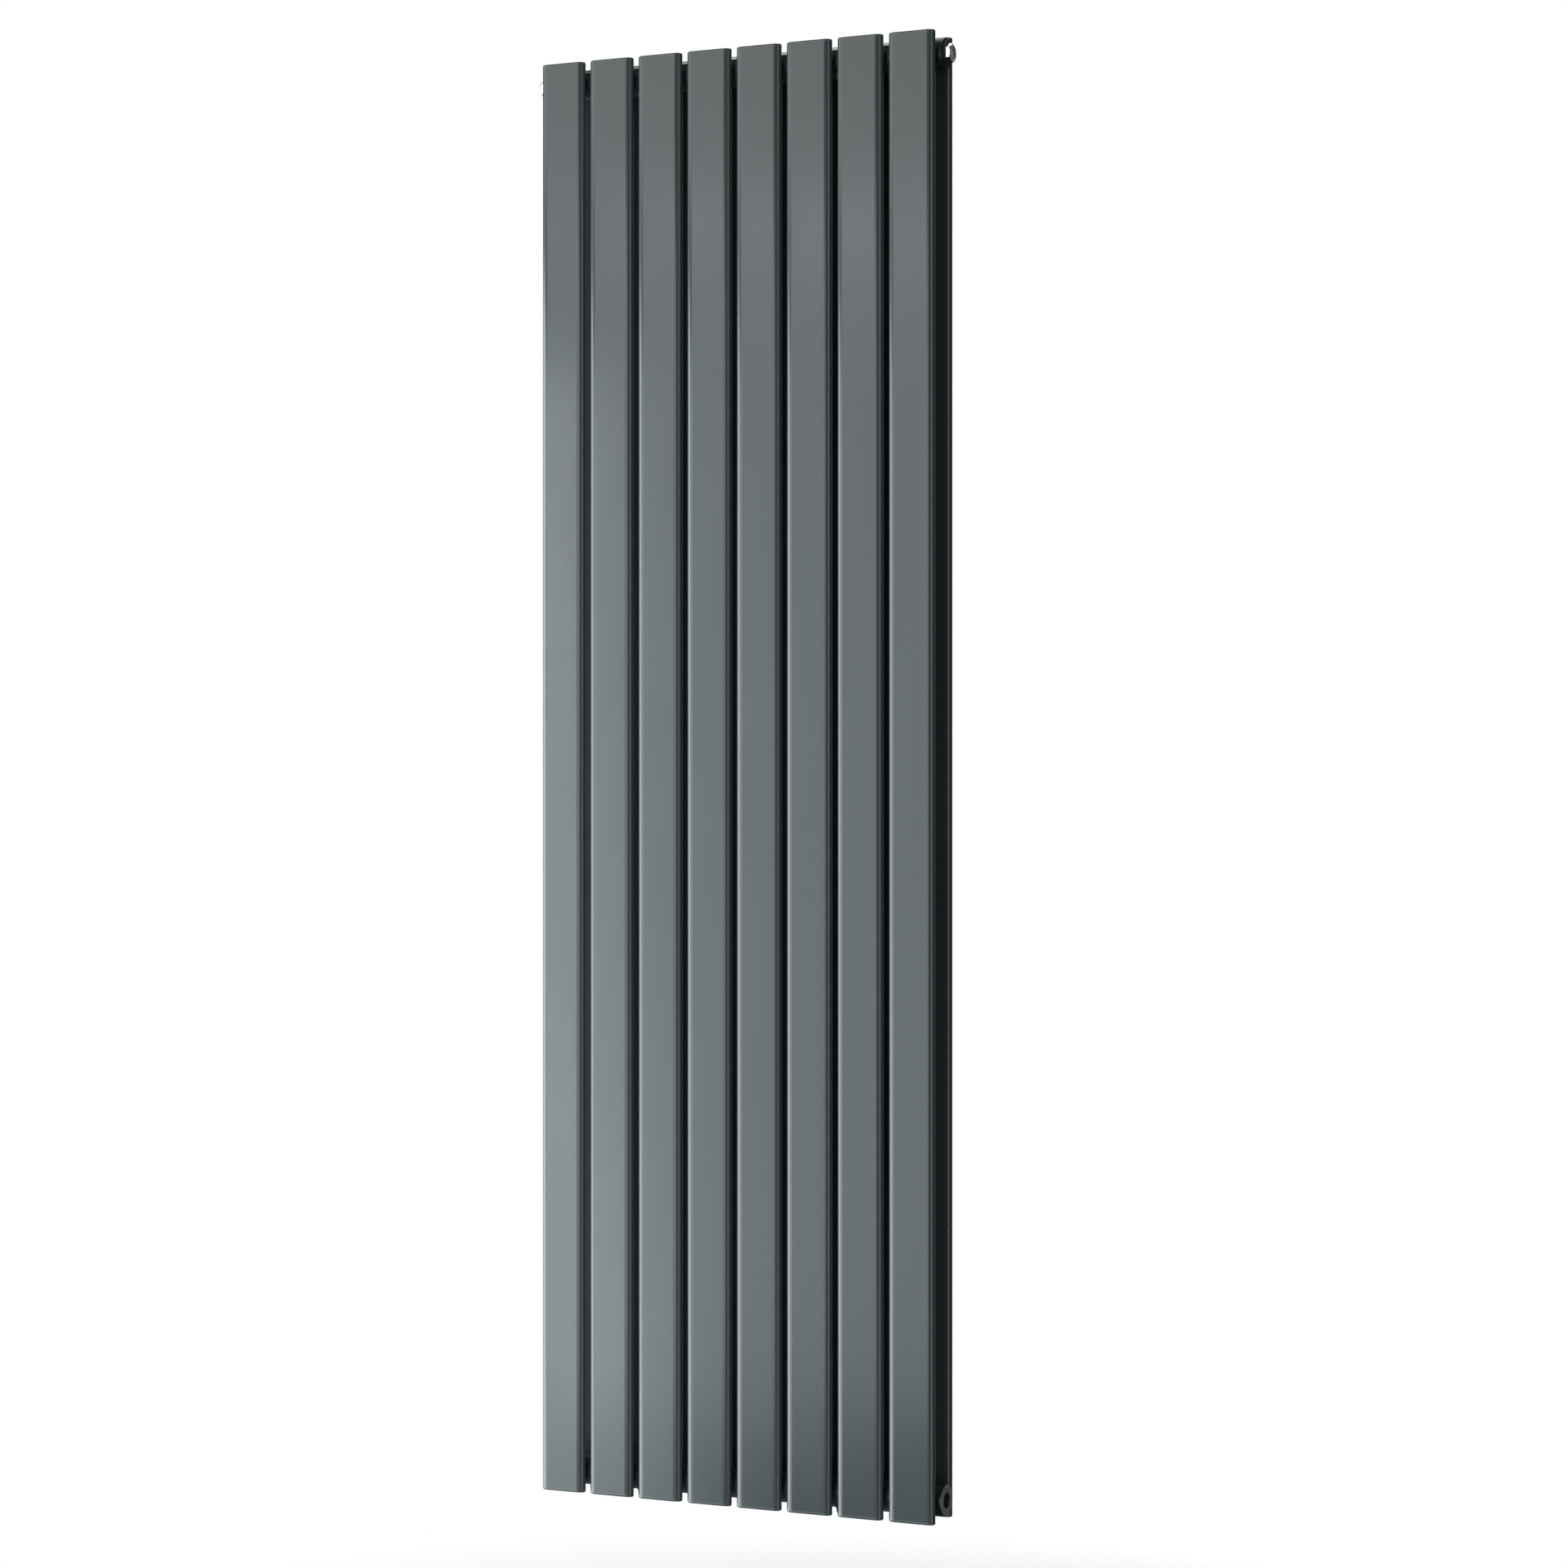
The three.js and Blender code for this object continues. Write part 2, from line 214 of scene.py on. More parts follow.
def joined(*parts):
    """Several (points, faces) as one."""
    points, faces = [], []
    for part_points, part_faces in parts:
        start = len(points)
        points += part_points
        faces += [tuple(start + i for i in face) for face in part_faces]
    return points, faces


def placed(part, matrix):
    """A part moved by a matrix."""
    points, faces = part
    return [matrix @ p for p in points], faces


def fitting_frame(level, end):
    """Local +Z runs outward along a header's axis from the boss's end face; local +Y is up."""
    side = ENDS[end]
    basis = Matrix(((0, 0, side), (side, 0, 0), (0, 1, 0))).to_4x4()
    place = Vector((side * HEADER_END, HEADER_Y, LEVELS[level] * HEADER_Z))
    return Matrix.Translation(place) @ basis


# ------------------------------------------------------------------ material helpers


class Nodes:
    """A material's node tree, built in short steps."""

    def __init__(self, name, **surface):
        self.material = bpy.data.materials.new(name)
        self.material.use_nodes = True
        self.tree = self.material.node_tree
        self.shader = self.tree.nodes["Principled BSDF"]
        for socket, value in surface.items():
            self.shader.inputs[socket.replace("_", " ")].default_value = value
        self.place = self.add("ShaderNodeTexCoord").outputs["Object"]

    def add(self, kind, **settings):
        node = self.tree.nodes.new(kind)
        for key, value in settings.items():
            setattr(node, key, value)
        return node

    def link(self, source, target):
        self.tree.links.new(source, target)

    def stretched(self, scale):
        """Object coordinates scaled differently along the axes."""
        mapping = self.add("ShaderNodeMapping")
        mapping.inputs["Scale"].default_value = scale
        self.link(self.place, mapping.inputs["Vector"])
        return mapping.outputs["Vector"]

    def noise(self, scale, detail=2, roughness=0.5, vector=None):
        node = self.add("ShaderNodeTexNoise")
        node.inputs["Scale"].default_value = scale
        node.inputs["Detail"].default_value = detail
        node.inputs["Roughness"].default_value = roughness
        self.link(vector or self.place, node.inputs["Vector"])
        return node.outputs["Fac"]

    def ranged(self, value, low, high, from_low=0.3, from_high=0.7):
        """A value mapped to a range."""
        node = self.add("ShaderNodeMapRange")
        node.inputs["From Min"].default_value = from_low
        node.inputs["From Max"].default_value = from_high
        node.inputs["To Min"].default_value = low
        node.inputs["To Max"].default_value = high
        self.link(value, node.inputs["Value"])
        return node.outputs["Result"]

    def mixed(self, factor, low, high):
        """A colour between two, by a factor."""
        node = self.add("ShaderNodeMix", data_type="RGBA")
        for socket, value in (("A_Color", low), ("B_Color", high)):
            target = next(s for s in node.inputs if s.identifier == socket)
            if isinstance(value, tuple):
                target.default_value = (*value, 1)
            else:
                self.link(value, target)
        self.link(factor, next(s for s in node.inputs if s.identifier == "Factor_Float"))
        return next(s for s in node.outputs if s.identifier == "Result_Color")

    def colour(self, source):
        self.link(source, self.shader.inputs["Base Color"])

    def roughness(self, source):
        self.link(source, self.shader.inputs["Roughness"])

    def bumps(self, *layers):
        """Bump from (height, strength, distance) layers, each on top of the last."""
        normal = None
        for height, strength, distance in layers:
            node = self.add("ShaderNodeBump")
            node.inputs["Strength"].default_value = strength
            node.inputs["Distance"].default_value = distance
            self.link(height, node.inputs["Height"])
            if normal:
                self.link(normal, node.inputs["Normal"])
            normal = node.outputs["Normal"]
        self.link(normal, self.shader.inputs["Normal"])


def powder_coat(name, dark, light, roughness):
    """Satin powder coat: even colour, a faint orange peel and a very fine grain."""
    look = Nodes(name, Metallic=0.0, Specular_IOR_Level=0.5, IOR=1.5)
    drift = look.noise(3.0, detail=3, vector=look.stretched((1, 1, 0.3)))
    grain = look.noise(2200, detail=2)
    tone = look.mixed(look.ranged(drift, 0.0, 1.0), dark, light)
    speck = look.mixed(look.ranged(grain, 0.0, 0.35, 0.35, 0.8), tone, light)
    look.colour(speck)
    patchy = look.noise(14, detail=4, vector=look.stretched((1, 1, 0.4)))
    look.roughness(look.ranged(patchy, roughness - 0.02, roughness + 0.025))
    peel = look.noise(420, detail=1, vector=look.stretched((1, 1, 0.8)))
    look.bumps((peel, 0.05, 0.0006), (grain, 0.04, 0.0002))
    return look.material


def chrome_plate():
    """Polished chrome with faint turning marks and a few fine scratches."""
    look = Nodes("chrome_plate", Metallic=1.0)
    haze = look.noise(260, detail=3)
    look.colour(look.mixed(haze, (0.70, 0.71, 0.73), (0.86, 0.87, 0.89)))
    scratch = look.noise(900, detail=3, vector=look.stretched((0.2, 1, 1)))
    look.roughness(look.ranged(scratch, 0.04, 0.12))
    look.bumps((scratch, 0.05, 0.0001))
    return look.material


def turned_metal(name, dark, light, roughness, marks=0.05):
    """Turned metal: fine rings round the header axis, as deep as marks, and a stained tone."""
    look = Nodes(name, Metallic=1.0)
    rings = look.add("ShaderNodeTexWave", wave_type="RINGS", rings_direction="X")
    rings.inputs["Scale"].default_value = 900
    rings.inputs["Distortion"].default_value = 2.0
    mirrored = look.add("ShaderNodeVectorMath", operation="ABSOLUTE")
    look.link(look.place, mirrored.inputs[0])
    centred = look.add("ShaderNodeVectorMath", operation="SUBTRACT")
    look.link(mirrored.outputs["Vector"], centred.inputs[0])
    centred.inputs[1].default_value = (0, abs(HEADER_Y), HEADER_Z)
    look.link(centred.outputs["Vector"], rings.inputs["Vector"])
    stain = look.noise(180, detail=4)
    tone = look.mixed(look.ranged(stain, 0.0, 1.0), dark, light)
    look.colour(tone)
    look.roughness(look.ranged(stain, roughness - 0.06, roughness + 0.08))
    look.bumps((rings.outputs["Fac"], marks, 0.0001))
    return look.material


def moulded(name, dark, light, roughness, subsurface=0.0):
    """Moulded nylon: a faint spark-eroded texture and slightly uneven gloss."""
    look = Nodes(name, Metallic=0.0, Subsurface_Weight=subsurface)
    look.shader.inputs["Subsurface Radius"].default_value = (0.002, 0.002, 0.0018)
    flow = look.noise(120, detail=2)
    look.colour(look.mixed(look.ranged(flow, 0.0, 1.0), dark, light))
    pits = look.noise(3500, detail=2)
    look.roughness(look.ranged(flow, roughness - 0.05, roughness + 0.06))
    look.bumps((pits, 0.12, 0.0002))
    return look.material


def rubber():
    """Matte nitrile with a little bloom."""
    look = Nodes("black_rubber", Metallic=0.0, Specular_IOR_Level=0.35)
    bloom = look.noise(300, detail=4)
    tone = look.ranged(bloom, 0.0, 1.0, 0.4, 0.75)
    look.colour(look.mixed(tone, (0.010, 0.010, 0.011), (0.028, 0.028, 0.029)))
    look.roughness(look.ranged(bloom, 0.55, 0.75))
    look.bumps((look.noise(2600, detail=2), 0.2, 0.0002))
    return look.material


def weld_paint(name, dark, light):
    """Powder coat over a weld: the same colour, with the bead's ripples and more gloss change."""
    look = Nodes(name, Metallic=0.0)
    lumps = look.noise(420, detail=3)
    look.colour(look.mixed(lumps, dark, light))
    look.roughness(look.ranged(lumps, 0.34, 0.46))
    look.bumps((lumps, 0.25, 0.0005))
    return look.material


PAINT_DARK = (0.038, 0.046, 0.048)
PAINT_LIGHT = (0.041, 0.050, 0.052)
PAINT = powder_coat("anthracite_paint", PAINT_DARK, PAINT_LIGHT, 0.18)
WELD = weld_paint("anthracite_weld", PAINT_DARK, PAINT_LIGHT)
BRACKET_PAINT = powder_coat("bracket_paint", (0.020, 0.023, 0.024), (0.027, 0.030, 0.031), 0.40)
CHROME = chrome_plate()
NICKEL = turned_metal("nickel_brass", (0.50, 0.47, 0.40), (0.66, 0.63, 0.55), 0.26)
CHROME_TURNED = turned_metal("chrome_turned", (0.60, 0.61, 0.63), (0.86, 0.87, 0.89), 0.14, marks=0.4)
MACHINED_FACE = turned_metal("machined_face", (0.50, 0.49, 0.48), (0.70, 0.69, 0.68), 0.48)
BOSS_STEEL = turned_metal("boss_steel", (0.055, 0.055, 0.056), (0.080, 0.080, 0.082), 0.50)
BARE_STEEL = turned_metal("bare_steel", (0.26, 0.26, 0.27), (0.38, 0.38, 0.39), 0.42)
WHITE_NYLON = moulded("white_nylon", (0.56, 0.56, 0.54), (0.64, 0.64, 0.62), 0.42, 0.15)
BLACK_NYLON = moulded("black_nylon", (0.014, 0.014, 0.015), (0.024, 0.024, 0.026), 0.45)
RUBBER = rubber()


# ------------------------------------------------------------------ columns


def flat_oval(width, depth, edge, segments=24):
    """Points round a rectangle whose two short sides are half-ellipses, counter-clockwise.

    A second point close to each end of the flat keeps its shading flat up to the edge.
    """
    flat = width / 2 - edge
    inner = flat - 0.3 * MM
    points = []
    for side in (1, -1):
        for i in range(segments + 1):
            angle = -math.pi / 2 + math.pi * i / segments
            x = side * (flat + edge * math.cos(angle))
            points.append((x, side * depth / 2 * math.sin(angle)))
        points += [(side * x, side * depth / 2) for x in (inner, -inner)]
    return points


def make_columns():
    """Each column: a flat-oval tube with an end plate whose rim is ground round."""
    rim = 2.0 * MM
    rim_steps = 5
    seam = 3.0 * MM  # the end plate's weld line, ground flush and painted over
    seam_dip = 0.05 * MM
    from_end = []
    for i in range(rim_steps + 1):
        turn = math.pi / 2 * i / rim_steps
        from_end.append((rim * (1 - math.cos(turn)), rim * (1 - math.sin(turn))))
    for offset, dip in ((-0.25, 0), (0, seam_dip), (0.25, 0)):
        from_end.append((seam + offset * MM, dip))
    levels = [(PANEL_LOW.z + height, inset) for height, inset in from_end]
    levels += [(PANEL_HIGH.z - height, inset) for height, inset in reversed(from_end)]
    for row in ("front", "rear"):
        for index in range(1, COLUMNS + 1):
            node = f"{row}_panel_{index}"
            box_low, box_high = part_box(node)
            centre = (box_low + box_high) / 2
            rings = []
            for z, inset in levels:
                outline = flat_oval(PANEL_WIDTH - 2 * inset, PANEL_DEPTH - 2 * inset, PANEL_EDGE - inset)
                rings.append([Vector((centre.x + x, centre.y + y, z)) for x, y in outline])
            points, faces = loft(rings, cap_start=True, cap_end=True)
            add_piece(f"{row}_column_{index}", points, faces, PAINT, RADIATOR,
                      "anthracite_paint", [node], sharp=60)


# ------------------------------------------------------------------ headers


def weld_bead(radius, thickness, centre, axis, steps=120, seed=0.0):
    """A rippled ring of weld round an axis: +Y or -Y for the collars, X for the bosses."""
    ripple = 0.16
    ripples = 26
    rings = []
    for i in range(steps):
        turn = TAU * i / steps
        wobble = noise.noise(Vector((3 * math.cos(turn), 3 * math.sin(turn), seed)))
        phase = (i * ripples / steps) % 1.0
        size = thickness * (1 + ripple * (0.5 - phase) + 0.18 * wobble)
        ring = []
        for k in range(8):
            angle = TAU * k / 8
            r = radius + size * math.cos(angle)
            h = size * math.sin(angle)
            flat = Vector((r * math.cos(turn), r * math.sin(turn), h))
            ring.append(centre + axis @ flat)
        rings.append(ring)
    return loft(rings, close=True)


HEADER_ALONG_X = Matrix(((0, 0, 1), (1, 0, 0), (0, 1, 0)))
PORT_COLLAR_RADIUS = 10 * MM
PORT_COLLAR_REACH = HEADER_RADIUS + 1.4 * MM  # from the header's axis


def on_header(level, x):
    """A point on a header's axis."""
    return Vector((x, HEADER_Y, LEVELS[level] * HEADER_Z))


def make_header_tube(level):
    """The header tube, hollow."""
    half = HEADER_HALF_LENGTH
    inner = HEADER_RADIUS - HEADER_WALL
    profile = [(inner, -half), (HEADER_RADIUS, -half), (HEADER_RADIUS, half), (inner, half)]
    matrix = Matrix.Translation(on_header(level, 0)) @ HEADER_ALONG_X.to_4x4()
    tube = placed(turned(profile, 96, close=True), matrix)
    add_piece(f"{level}_header_tube", *tube, PAINT, RADIATOR, "anthracite_paint",
              [f"{level}_header"], sharp=40)


def port_places(level):
    """For each collar: its column's number, side, point on the header's axis and direction."""
    for index in range(1, COLUMNS + 1):
        for side in (-1, 1):
            towards = Matrix(((1, 0, 0), (0, 0, side), (0, -side, 0)))
            yield index, side, on_header(level, column_x(index)), towards


def make_header_collars(level):
    """The collars that lead from a header to the front and the rear columns."""
    short = [(PORT_COLLAR_RADIUS, HEADER_RADIUS * 0.8), (PORT_COLLAR_RADIUS, PORT_COLLAR_REACH)]
    collars = []
    for _, _, middle, towards in port_places(level):
        matrix = Matrix.Translation(middle) @ towards.to_4x4()
        collars.append(placed(turned(short, 48, cap_start=True, cap_end=True), matrix))
    add_piece(f"{level}_header_collars", *joined(*collars), PAINT, RADIATOR, "anthracite_paint")


def make_header_welds(level):
    """The weld beads round a header's collars and its end rings."""
    up = LEVELS[level]
    beads = []
    for index, side, middle, towards in port_places(level):
        foot = middle + Vector((0, side * (PORT_COLLAR_REACH - 0.6 * MM), 0))
        seed = index + 10 * side + 100 * up
        beads.append(weld_bead(PORT_COLLAR_RADIUS + 0.5 * MM, 1.1 * MM, foot, towards, seed=seed))
    for side in ENDS.values():
        foot = on_header(level, side * (HEADER_END - BOSS_LENGTH - 0.15 * MM))
        radius = HEADER_RADIUS - 0.75 * MM
        beads.append(weld_bead(radius, 0.7 * MM, foot, HEADER_ALONG_X, 220, seed=side + 7 * up))
    add_piece(f"{level}_header_welds", *joined(*beads), WELD, RADIATOR, "anthracite_paint", sharp=80)


# ------------------------------------------------------------------ threads and end rings


def thread_rings(radius_at, start, end, pitch, segments, steps_per_pitch=8):
    """Rings of a helical thread from start to end; radius_at(phase, along) gives the radius."""
    steps = max(2, round(abs(end - start) / pitch * steps_per_pitch))
    rings = []
    for s in range(steps + 1):
        along = start + (end - start) * s / steps
        ring = []
        for i in range(segments):
            turn = i / segments
            phase = (along / pitch - turn) % 1.0
            radius = radius_at(phase, along)
            ring.append(Vector((radius * math.cos(TAU * turn), radius * math.sin(TAU * turn), along)))
        rings.append(ring)
    return rings


def whitworth(phase):
    """Height of a 55 degree thread over one pitch, from 0 at the root to 1 at the crest, rounded."""
    height = 1 - abs(2 * phase - 1)
    return height * height * (3 - 2 * height)


def make_boss(level, end):
    """A header's end ring: a G1/2 female thread inside, and a machined land on its end face."""
    segments = 72
    chamfer = 0.5 * MM
    mouth = 0.35 * MM
    land = 0.2 * MM  # thickness of the machined layer
    relief = 1.2 * MM  # where the thread fades out at either end

    def thread_radius(phase, along):
        depth = min(-along, along + BOSS_LENGTH)
        full = max(0.0, min(1.0, (depth - mouth) / relief))
        return SOCKET_MINOR + (SOCKET_MAJOR - SOCKET_MINOR) * whitworth(phase) * full

    inside = thread_rings(thread_radius, -mouth, -BOSS_LENGTH, THREAD_PITCH, segments)
    back = -BOSS_LENGTH
    outside = [(HEADER_RADIUS - chamfer, back), (HEADER_RADIUS, back + chamfer),
               (HEADER_RADIUS, -chamfer), (HEADER_RADIUS - chamfer + land, -land),
               (SOCKET_MINOR + mouth, -land)]
    rings = inside + [circle(r, a, segments) for r, a in outside]
    part = placed(loft(rings, close=True), fitting_frame(level, end))
    add_piece(f"end_ring_{level}_{end}", *part, BOSS_STEEL, RADIATOR, "anthracite_paint",
              [f"boss_{level}_{end}"], sharp=40)
    around = [(SOCKET_MINOR + mouth, -land), (HEADER_RADIUS - chamfer + land, -land),
              (HEADER_RADIUS - chamfer, 0), (SOCKET_MINOR + mouth, 0)]
    face = placed(turned(around, segments, close=True), fitting_frame(level, end))
    # The lands are one machined face at both levels: the top ones take the dark boss steel as painted
    # shade, the bottom ones the light machined steel.
    material = {"top": BOSS_STEEL, "bottom": MACHINED_FACE}[level]
    add_piece(f"end_land_{level}_{end}", *face, material, RADIATOR, "anthracite_paint", sharp=40)


# ------------------------------------------------------------------ plug and air vent


def hexagon(across, corner, along, per_flat=10, per_corner=5):
    """A hexagon with rounded corners and a flat facing -Y of the row, as a ring."""
    points = []
    inner = across / 2 - corner
    for k in range(6):
        middle = math.radians(60 * k)  # direction of a corner, one of them straight up
        tip = inner / math.cos(math.radians(30))
        centre = Vector((math.sin(middle), math.cos(middle))) * tip
        for i in range(per_corner):
            angle = middle - math.radians(30) + math.radians(60) * i / (per_corner - 1)
            points.append(centre + corner * Vector((math.sin(angle), math.cos(angle))))
        nxt = math.radians(60 * (k + 1))
        start = points[-1]
        normal = (middle + nxt) / 2
        stop_centre = Vector((math.sin(nxt), math.cos(nxt))) * tip
        stop = stop_centre + corner * Vector((math.sin(normal), math.cos(normal)))
        for i in range(1, per_flat):
            points.append(start.lerp(stop, i / per_flat))
    return [Vector((p.x, p.y, along)) for p in points]


def hex_head_rings(start, end):
    """Rings of a hexagon head, its corners cut back by a 30 degree chamfer at the outer face."""
    corner = 0.6 * MM
    face_radius = HEX_ACROSS_FLATS / 2 - 0.25 * MM
    slope = math.tan(math.radians(30))
    side = hexagon(HEX_ACROSS_FLATS, corner, start)
    foot = hexagon(HEX_ACROSS_FLATS - 0.4 * MM, corner, start)
    shoulder, face = [], []
    for p in side:
        radius = math.hypot(p.x, p.y)
        shoulder.append(Vector((p.x, p.y, end - (radius - face_radius) * slope)))
        face.append(Vector((p.x, p.y, 0)) * (face_radius / radius) + Vector((0, 0, end)))
    skirt = [Vector((p.x, p.y, start + 0.2 * MM)) for p in side]
    return [foot, skirt, shoulder, face]


def scaled_ring(ring, radius, along):
    """The same directions as a ring's points, on a circle."""
    return [Vector((p.x, p.y, 0)).normalized() * radius + Vector((0, 0, along)) for p in ring]


SHANK_PROFILE = [
    (SHANK_RADIUS - SHANK_CHAMFER, SHANK_END),
    (SHANK_RADIUS, SHANK_END + SHANK_CHAMFER),
    (SHANK_RADIUS, HEAD_SEAT),
    (HEAD_SEAT_RADIUS, HEAD_SEAT),
]


def make_plug():
    """The blanking plug: hexagon head with a dished face, a washer face and a plain shank."""
    head = hex_head_rings(HEAD_START, HEAD_END)
    ring = head[0]
    below = [scaled_ring(ring, r, a) for r, a in SHANK_PROFILE]
    rim = 8.9 * MM
    dish = [(rim, 0.0), (rim - 0.35 * MM, -0.25 * MM), (6.4 * MM, -0.5 * MM), (3.2 * MM, -0.42 * MM),
            (0.8 * MM, -0.3 * MM)]
    above = [scaled_ring(ring, r, HEAD_END + a) for r, a in dish]
    rings = below + head + above
    part = placed(loft(rings, cap_start=True, cap_end=True), fitting_frame("top", "right"))
    add_piece("blanking_plug_chrome", *part, CHROME_TURNED, RADIATOR, "chrome_plate",
              ["blanking_plug"], sharp=25)


def make_washer(name, node, end):
    """A flat sealing washer with rounded edges, squeezed between head and end ring."""
    low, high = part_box(node)
    outer = (high.z - low.z) / 2
    inner = SOCKET_MINOR
    edge = 0.35 * MM
    start, stop = WASHER_GAP * 0.5, WASHER_GAP + WASHER_LENGTH
    knee = (outer - 0.1 * MM, 0.4 * edge)
    profile = [(inner, start + edge), (inner + edge, start), (outer - edge, start),
               (knee[0], start + knee[1]), (outer, start + edge),
               (outer, stop - edge), (knee[0], stop - knee[1]),
               (outer - edge, stop), (inner + edge, stop), (inner, stop - edge)]
    part = placed(turned(profile, 72, close=True), fitting_frame("top", end))
    add_piece(name, *part, RUBBER, RADIATOR, "black_rubber", [node], sharp=50)


VENT_NECK = 5.4 * MM
VENT_BORE = 4.0 * MM
VENT_NECK_END = HEAD_END + 3.6 * MM
SPOUT_RADIUS = 0.9 * MM
GRIPS = 18
GRIP_SEGMENTS = GRIPS * 8
GRIP_DEPTH = 0.35 * MM


def make_vent_body():
    """The air vent's body: hexagon head, neck for the outlet, and the bore that the screw is in."""
    head = hex_head_rings(HEAD_START, HEAD_END)
    ring = head[0]
    seat = -5 * MM
    way = 1.5 * MM
    lip = 0.3 * MM
    below = [(way, seat), (way, SHANK_END)] + SHANK_PROFILE
    above = [(8.6 * MM, HEAD_END), (8.4 * MM, HEAD_END - 0.2 * MM), (VENT_NECK, HEAD_END - 0.2 * MM),
             (VENT_NECK, VENT_NECK_END - lip), (VENT_NECK - lip, VENT_NECK_END),
             (VENT_BORE + lip, VENT_NECK_END), (VENT_BORE, VENT_NECK_END - lip), (VENT_BORE, seat)]
    rings = [scaled_ring(ring, r, a) for r, a in below]
    rings += head
    rings += [scaled_ring(ring, r, a) for r, a in above]
    part = placed(loft(rings, close=True), fitting_frame("top", "left"))
    add_piece("vent_body_chrome", *part, CHROME, RADIATOR, "chrome_plate", ["vent_body"], sharp=25)


def grooved(radius, along, depth):
    """A ring of points with the outlet's finger grooves."""
    ring = []
    for i in range(GRIP_SEGMENTS):
        turn = TAU * i / GRIP_SEGMENTS
        groove = max(0.0, math.cos(GRIPS * turn)) ** 2 * depth
        r = radius - groove
        ring.append(Vector((r * math.cos(turn), r * math.sin(turn), along)))
    return ring


def make_vent_outlet():
    """The nylon outlet ring: a finger-gripped rim and a spout hole through one side."""
    low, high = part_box("vent_outlet")
    outer = (high.z - low.z) / 2
    start, stop = HEAD_END + 0.3 * MM, HEAD_END + 4.2 * MM
    inner = VENT_NECK + 0.3 * MM
    edge = 0.4 * MM
    dish = 0.35 * MM  # depth of the step round the neck
    rings = [
        circle(inner, start + edge, GRIP_SEGMENTS),
        circle(inner + edge, start, GRIP_SEGMENTS),
        grooved(outer - edge, start, 0),
        grooved(outer, start + edge, GRIP_DEPTH),
        grooved(outer, stop - 1.0 * MM, GRIP_DEPTH),
        grooved(outer - 0.15 * MM, stop - 0.45 * MM, 0.1 * MM),
        grooved(outer - 0.6 * MM, stop - 0.1 * MM, 0),
        grooved(outer - 1.0 * MM, stop, 0),
        circle(inner + 1.2 * MM, stop, GRIP_SEGMENTS),
        circle(inner + 0.9 * MM, stop - dish, GRIP_SEGMENTS),
        circle(inner + edge, stop - dish, GRIP_SEGMENTS),
        circle(inner, stop - edge - dish, GRIP_SEGMENTS),
    ]
    part = placed(loft(rings, close=True), fitting_frame("top", "left"))
    outlet = add_piece("vent_outlet_nylon", *part, WHITE_NYLON, "air_outlet", "white_nylon",
                       ["vent_outlet"], sharp=35)
    drill_spout(outlet, outer)


def drill_spout(outlet, outer):
    """Cuts the spout hole down through the outlet's rim."""
    along = (HEAD_END + VENT_NECK_END) / 2
    centre = fitting_frame("top", "left") @ Vector((0, 0, along))
    down = Matrix.Rotation(math.pi, 4, "X")
    profile = [(SPOUT_RADIUS, 0), (SPOUT_RADIUS, outer + 2 * MM)]
    points, faces = turned(profile, 24, cap_start=True, cap_end=True)
    points = [centre + down @ p for p in points]
    combine(outlet, [("DIFFERENCE", make_object("spout_cutter", (points, faces)))])


def rounded_square(size, corner_radius, along, segments):
    """A square ring round the local Z axis, size from its middle to a flat, with rounded corners."""
    points = []
    reach = size - corner_radius
    for i in range(segments):
        turn = TAU * i / segments
        direction = Vector((math.cos(turn), math.sin(turn)))
        stretch = 1 / max(abs(direction.x), abs(direction.y))
        p = direction * stretch * size
        corner = Vector((max(-reach, min(reach, p.x)), max(-reach, min(reach, p.y))))
        off = p - corner
        if off.length > corner_radius:
            p = corner + off.normalized() * corner_radius
        points.append(Vector((p.x, p.y, along)))
    return points


def make_bleed_screw():
    """The bleed screw: a fine thread, and a slotted square end for the bleed key."""
    body_start = -1.9 * MM
    key_start = HEAD_END - 0.3 * MM
    key_end = HEAD_END + 4.0 * MM
    crest, root = 3.6 * MM, 3.15 * MM
    pitch = 1.0 * MM
    relief = 0.8 * MM  # where the thread fades out at either end
    segments = 48
    half = 2.5 * MM
    corner = 0.45 * MM
    chamfer = 0.3 * MM

    def thread_radius(phase, along):
        near = min(along - body_start, key_start - along)
        full = max(0.0, min(1.0, near / relief))
        return root + (crest - root) * whitworth(phase) * full

    rings = thread_rings(thread_radius, body_start, key_start - 0.4 * MM, pitch, segments)
    rings.append(circle(root, key_start - 0.2 * MM, segments))
    rings.append(rounded_square(half, corner, key_start + 0.2 * MM, segments))
    rings.append(rounded_square(half, corner, key_end - chamfer, segments))
    rings.append(rounded_square(half - chamfer, corner, key_end, segments))
    part = placed(loft(rings, cap_start=True, cap_end=True), fitting_frame("top", "left"))
    screw = add_piece("bleed_screw_nickel", *part, NICKEL, "valve_screw", "nickel_brass",
                      ["bleed_screw"], sharp=30)
    cut_slot(screw, key_end)


def cut_slot(screw, key_end):
    """Cuts the screwdriver slot across the square end."""
    width, depth, reach = 0.9 * MM, 1.2 * MM, 4 * MM
    corners = [Vector((x, y, z)) for x in (-reach, reach) for y in (-width / 2, width / 2)
               for z in (key_end - depth, key_end + depth)]
    faces = [(0, 1, 3, 2), (4, 6, 7, 5), (0, 4, 5, 1), (2, 3, 7, 6), (0, 2, 6, 4), (1, 5, 7, 3)]
    part = placed((corners, faces), fitting_frame("top", "left"))
    combine(screw, [("DIFFERENCE", make_object("slot_cutter", part))])


# ------------------------------------------------------------------ wall brackets

